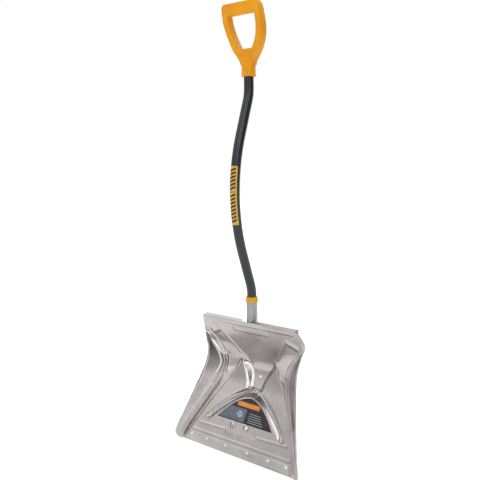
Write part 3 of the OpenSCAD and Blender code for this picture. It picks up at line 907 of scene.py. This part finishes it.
# Brightness round the studio, from -X to +X and from straight down to straight up
STUDIO_STRIPS = [(0.0, (0.9, 0.9, 0.9)), (0.17, (1.8, 1.8, 1.8)), (0.30, (0.80, 0.79, 0.78)),
                 (0.44, (0.35, 0.34, 0.34)), (0.54, (3.0, 3.0, 3.0)), (0.66, (3.0, 3.0, 3.0)),
                 (0.72, (0.35, 0.34, 0.34)), (0.90, (0.16, 0.15, 0.15)), (1.0, (0.8, 0.8, 0.8))]
STUDIO_LEVELS = [(0.50, (0.70, 0.70, 0.70)), (0.62, (0.55, 0.55, 0.55)),
                 (0.80, (1.15, 1.15, 1.15)), (0.92, (0.95, 0.95, 0.95))]


def place_camera():
    """Front view from the right, at the height of the handle's bow, about 1.8 m away."""
    turn, dip, roll = (math.radians(a) for a in CAMERA_ANGLES)
    level = math.cos(dip)
    ahead = Vector((-math.sin(turn) * level, math.cos(turn) * level, -math.sin(dip)))
    right = Vector((math.cos(turn), math.sin(turn), 0))
    up = right.cross(ahead)
    right, up = (math.cos(roll) * right + math.sin(roll) * up,
                 math.cos(roll) * up - math.sin(roll) * right)
    camera = bpy.data.objects.new("camera", bpy.data.cameras.new("camera"))
    camera.data.sensor_width = CAMERA_SENSOR
    camera.data.lens = CAMERA_LENS
    camera.matrix_world = Matrix((right, up, -ahead)).transposed().to_4x4()
    camera.location = Vector(to_frame(CAMERA_PLACE))
    bpy.context.scene.collection.objects.link(camera)
    bpy.context.scene.camera = camera


def add_light(name, position, target, size, power):
    """A rectangular lamp at a position, turned to a target. Both are in metres."""
    data = bpy.data.lights.new(name, "AREA")
    data.shape = "RECTANGLE"
    data.size, data.size_y = size
    data.energy = power
    light = bpy.data.objects.new(name, data)
    light.location = position
    light.rotation_mode = "QUATERNION"
    light.rotation_quaternion = (Vector(target) - Vector(position)).to_track_quat("-Z", "Y")
    bpy.context.scene.collection.objects.link(light)


def build_floor():
    """A pale matt floor just below the blade, lit a little from within so that it stays white."""
    material, tree, shader = new_material("stage_white")
    tone = stretched_noise(tree, EVEN, 0.6, detail=1)
    pale = graded(tree, tone, [(0.3, (0.93, 0.93, 0.93)), (0.7, (0.95, 0.95, 0.95))])
    tree.links.new(pale, shader.inputs["Base Color"])
    shader.inputs["Roughness"].default_value = 0.9
    shader.inputs["Emission Color"].default_value = (1, 1, 1, 1)
    shader.inputs["Emission Strength"].default_value = 0.25
    floor_z = float(cad_box[0].z) - FLOOR_GAP
    corners = [(x * FLOOR_REACH, y * FLOOR_REACH, floor_z)
               for x, y in ((-1, -1), (1, -1), (1, 1), (-1, 1))]
    mesh = bpy.data.meshes.new("floor")
    mesh.from_pydata(corners, [], [(0, 1, 2, 3)])
    mesh.materials.append(material)
    floor = bpy.data.objects.new("floor", mesh)
    bpy.context.scene.collection.objects.link(floor)


def direction_part(tree, direction):
    """One part of a direction, from -1 to 1, as a value from 0 to 1."""
    return add(tree, "ShaderNodeMapRange", {"Value": direction, "From Min": -1.0}).outputs["Result"]


def build_studio():
    """White behind the object, and soft strips and levels of light for the metal to mirror."""
    world = bpy.data.worlds.new("studio")
    world.use_nodes = True
    tree = world.node_tree
    where = add(tree, "ShaderNodeTexCoord").outputs["Generated"]
    axes = add(tree, "ShaderNodeSeparateXYZ", {"Vector": where}).outputs
    strips = graded(tree, direction_part(tree, axes["X"]), STUDIO_STRIPS)
    levels = graded(tree, direction_part(tree, axes["Z"]), STUDIO_LEVELS)
    shade = add(tree, "ShaderNodeMix", {"Factor": 1.0, "A": strips, "B": levels},
                data_type="RGBA", blend_type="MULTIPLY").outputs["Result"]
    seen = add(tree, "ShaderNodeLightPath").outputs["Is Camera Ray"]
    sky = add(tree, "ShaderNodeMix", {"Factor": seen, "A": shade, "B": (1, 1, 1, 1)},
              data_type="RGBA").outputs["Result"]
    tree.links.new(sky, tree.nodes["Background"].inputs["Color"])
    bpy.context.scene.world = world
    add_light("high_right", (1.9, -1.3, 0.6), (0, 0, -1.1), (0.7, 1.3), 11)


place_camera()
build_floor()
build_studio()
build_blade()
build_label()
build_wear_strip()
build_strip_rivets()
build_tongue_rivet()
build_sleeve()
build_shaft_label()
build_collar()
build_back_rivets()
build_grip()

for node, material in (("ferrule", ferrule_metal), ("shaft_tube", tube_metal)):
    for mesh_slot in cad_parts[node].material_slots:
        mesh_slot.material = material

bpy.context.scene.view_settings.view_transform = "Standard"
